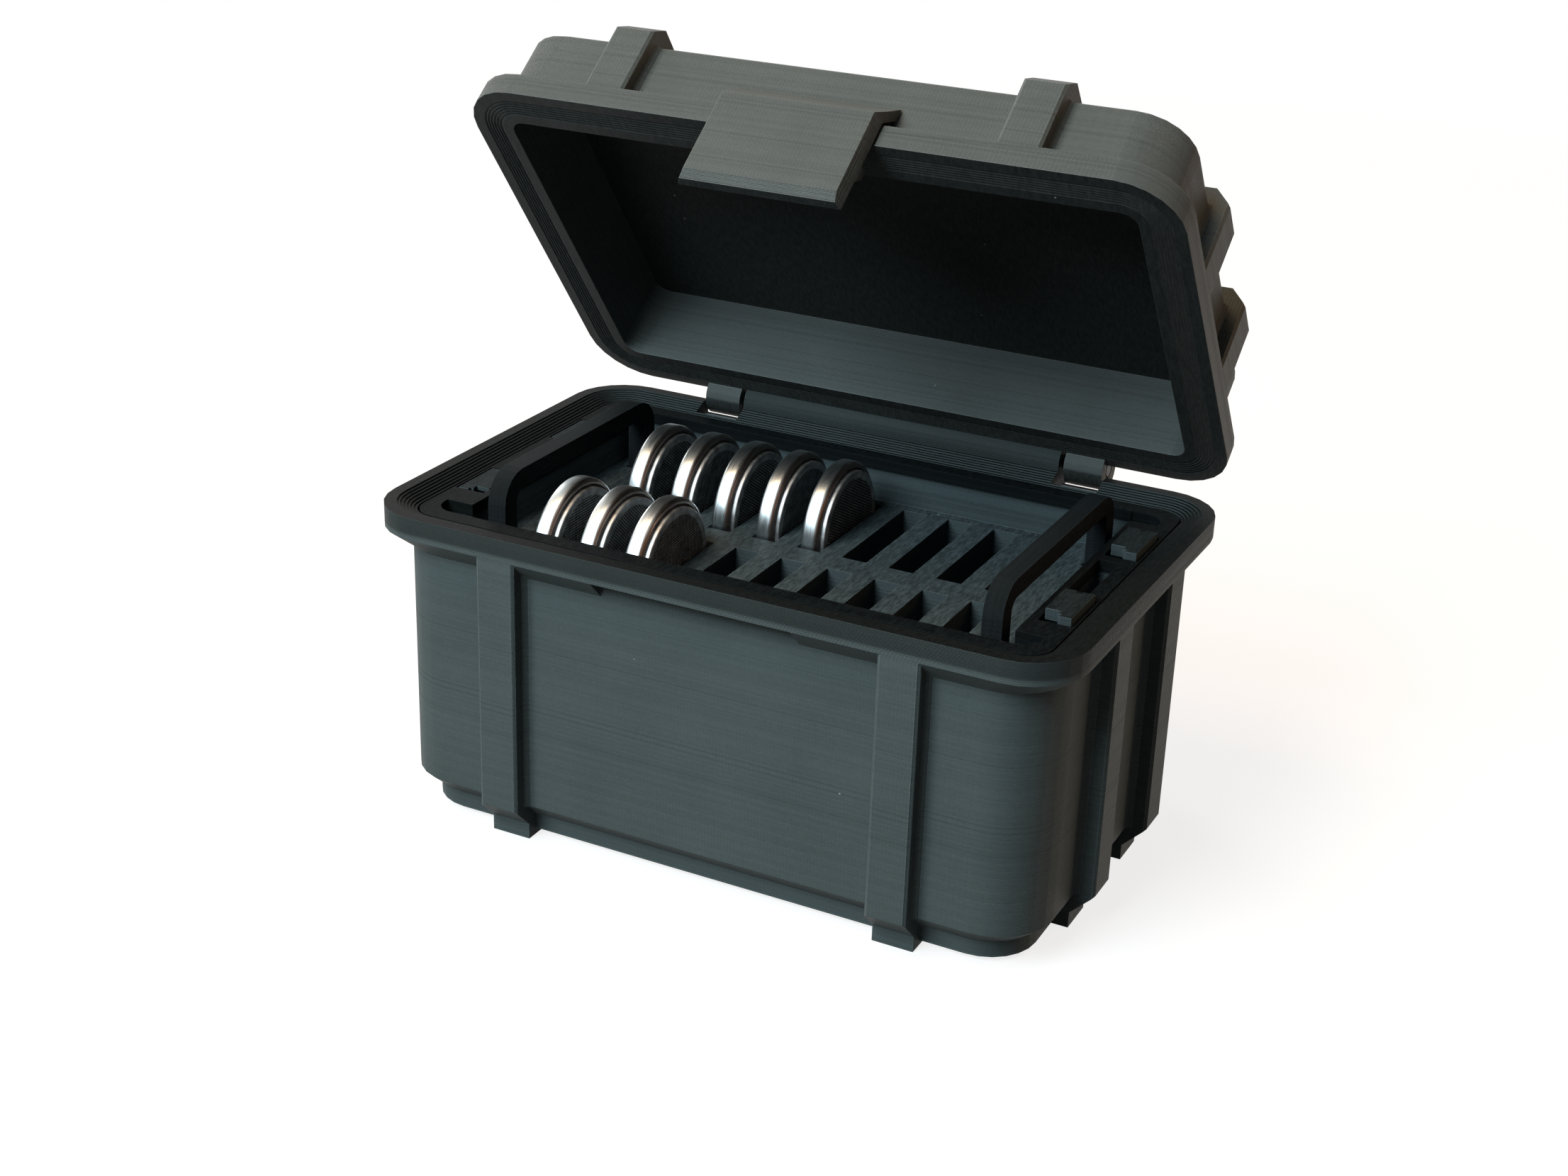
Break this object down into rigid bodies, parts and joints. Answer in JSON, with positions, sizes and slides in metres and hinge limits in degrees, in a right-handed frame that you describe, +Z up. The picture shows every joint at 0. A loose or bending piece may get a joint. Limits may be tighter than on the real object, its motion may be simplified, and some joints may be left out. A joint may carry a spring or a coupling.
{
  "type": "battery storage box",
  "caption": "Printed storage box for coin cells: ribbed base, hinged lid with a front latch clip, and a lift-out tray whose narrow slots hold the cells on edge.",
  "frame": {"origin": "on the ground under the middle of the bounding box, with the lid open at its rest angle; the base's own middle is 5.845 mm nearer the front", "axes": "+X to the right, -Y to the front with the latch, +Z up"},
  "size_m": [0.1038, 0.0774, 0.1088],
  "materials": {
    "print": "black 3-D printed plastic with fine layer lines",
    "tray": "black 3-D printed plastic, rough on the slot plate",
    "steel": "plain steel wire",
    "can": "bright nickel-plated steel can",
    "gasket": "dark brown sealing ring",
    "cap": "dark stippled steel cap"
  },
  "bodies": {
    "base": {"base_box": "print", "hinge_pin_left": "steel", "hinge_pin_right": "steel", "hinge_rest_pin_left": "steel", "hinge_rest_pin_right": "steel"},
    "lid": {"lid": "print"},
    "latch": {"latch_clip": "print"},
    "tray": {"tray": "tray", "tray_handle_left": "tray", "tray_handle_right": "tray", "tray_plate_left_front": "tray", "tray_plate_left_back": "tray", "tray_plate_right_front": "tray", "tray_plate_right_back": "tray"},
    "cell_front_1": {"cell_front_1_can": "can", "cell_front_1_gasket": "gasket", "cell_front_1_cap": "cap"},
    "cell_front_2": {"cell_front_2_can": "can", "cell_front_2_gasket": "gasket", "cell_front_2_cap": "cap"},
    "cell_front_3": {"cell_front_3_can": "can", "cell_front_3_gasket": "gasket", "cell_front_3_cap": "cap"},
    "cell_back_1": {"cell_back_1_can": "can", "cell_back_1_gasket": "gasket", "cell_back_1_cap": "cap"},
    "cell_back_2": {"cell_back_2_can": "can", "cell_back_2_gasket": "gasket", "cell_back_2_cap": "cap"},
    "cell_back_3": {"cell_back_3_can": "can", "cell_back_3_gasket": "gasket", "cell_back_3_cap": "cap"},
    "cell_back_4": {"cell_back_4_can": "can", "cell_back_4_gasket": "gasket", "cell_back_4_cap": "cap"},
    "cell_back_5": {"cell_back_5_can": "can", "cell_back_5_gasket": "gasket", "cell_back_5_cap": "cap"}
  },
  "joints": [
    {"name": "lid_hinge", "type": "hinge", "parent": "base", "child": "lid", "pos_m": [0, 0.02875, 0.04734], "axis": [-1, 0, 0], "range_deg": [-52, 58]},
    {"name": "latch_flex", "type": "hinge", "parent": "lid", "child": "latch", "pos_m": [0, -0.00499, 0.10346], "axis": [-1, 0, 0], "range_deg": [0, 20], "stiffness_Nm_per_rad": 0.05},
    {"name": "tray_lift", "type": "slide", "parent": "base", "child": "tray", "axis": [0, 0, 1], "range_m": [0, 0.008]},
    {"name": "cell_front_1_lift", "type": "slide", "parent": "tray", "child": "cell_front_1", "axis": [0, 0, 1], "range_m": [0, 0.017]},
    {"name": "cell_front_2_lift", "type": "slide", "parent": "tray", "child": "cell_front_2", "axis": [0, 0, 1], "range_m": [0, 0.017]},
    {"name": "cell_front_3_lift", "type": "slide", "parent": "tray", "child": "cell_front_3", "axis": [0, 0, 1], "range_m": [0, 0.017]},
    {"name": "cell_back_1_lift", "type": "slide", "parent": "tray", "child": "cell_back_1", "axis": [0, 0, 1], "range_m": [0, 0.017]},
    {"name": "cell_back_2_lift", "type": "slide", "parent": "tray", "child": "cell_back_2", "axis": [0, 0, 1], "range_m": [0, 0.017]},
    {"name": "cell_back_3_lift", "type": "slide", "parent": "tray", "child": "cell_back_3", "axis": [0, 0, 1], "range_m": [0, 0.017]},
    {"name": "cell_back_4_lift", "type": "slide", "parent": "tray", "child": "cell_back_4", "axis": [0, 0, 1], "range_m": [0, 0.017]},
    {"name": "cell_back_5_lift", "type": "slide", "parent": "tray", "child": "cell_back_5", "axis": [0, 0, 1], "range_m": [0, 0.017]}
  ]
}
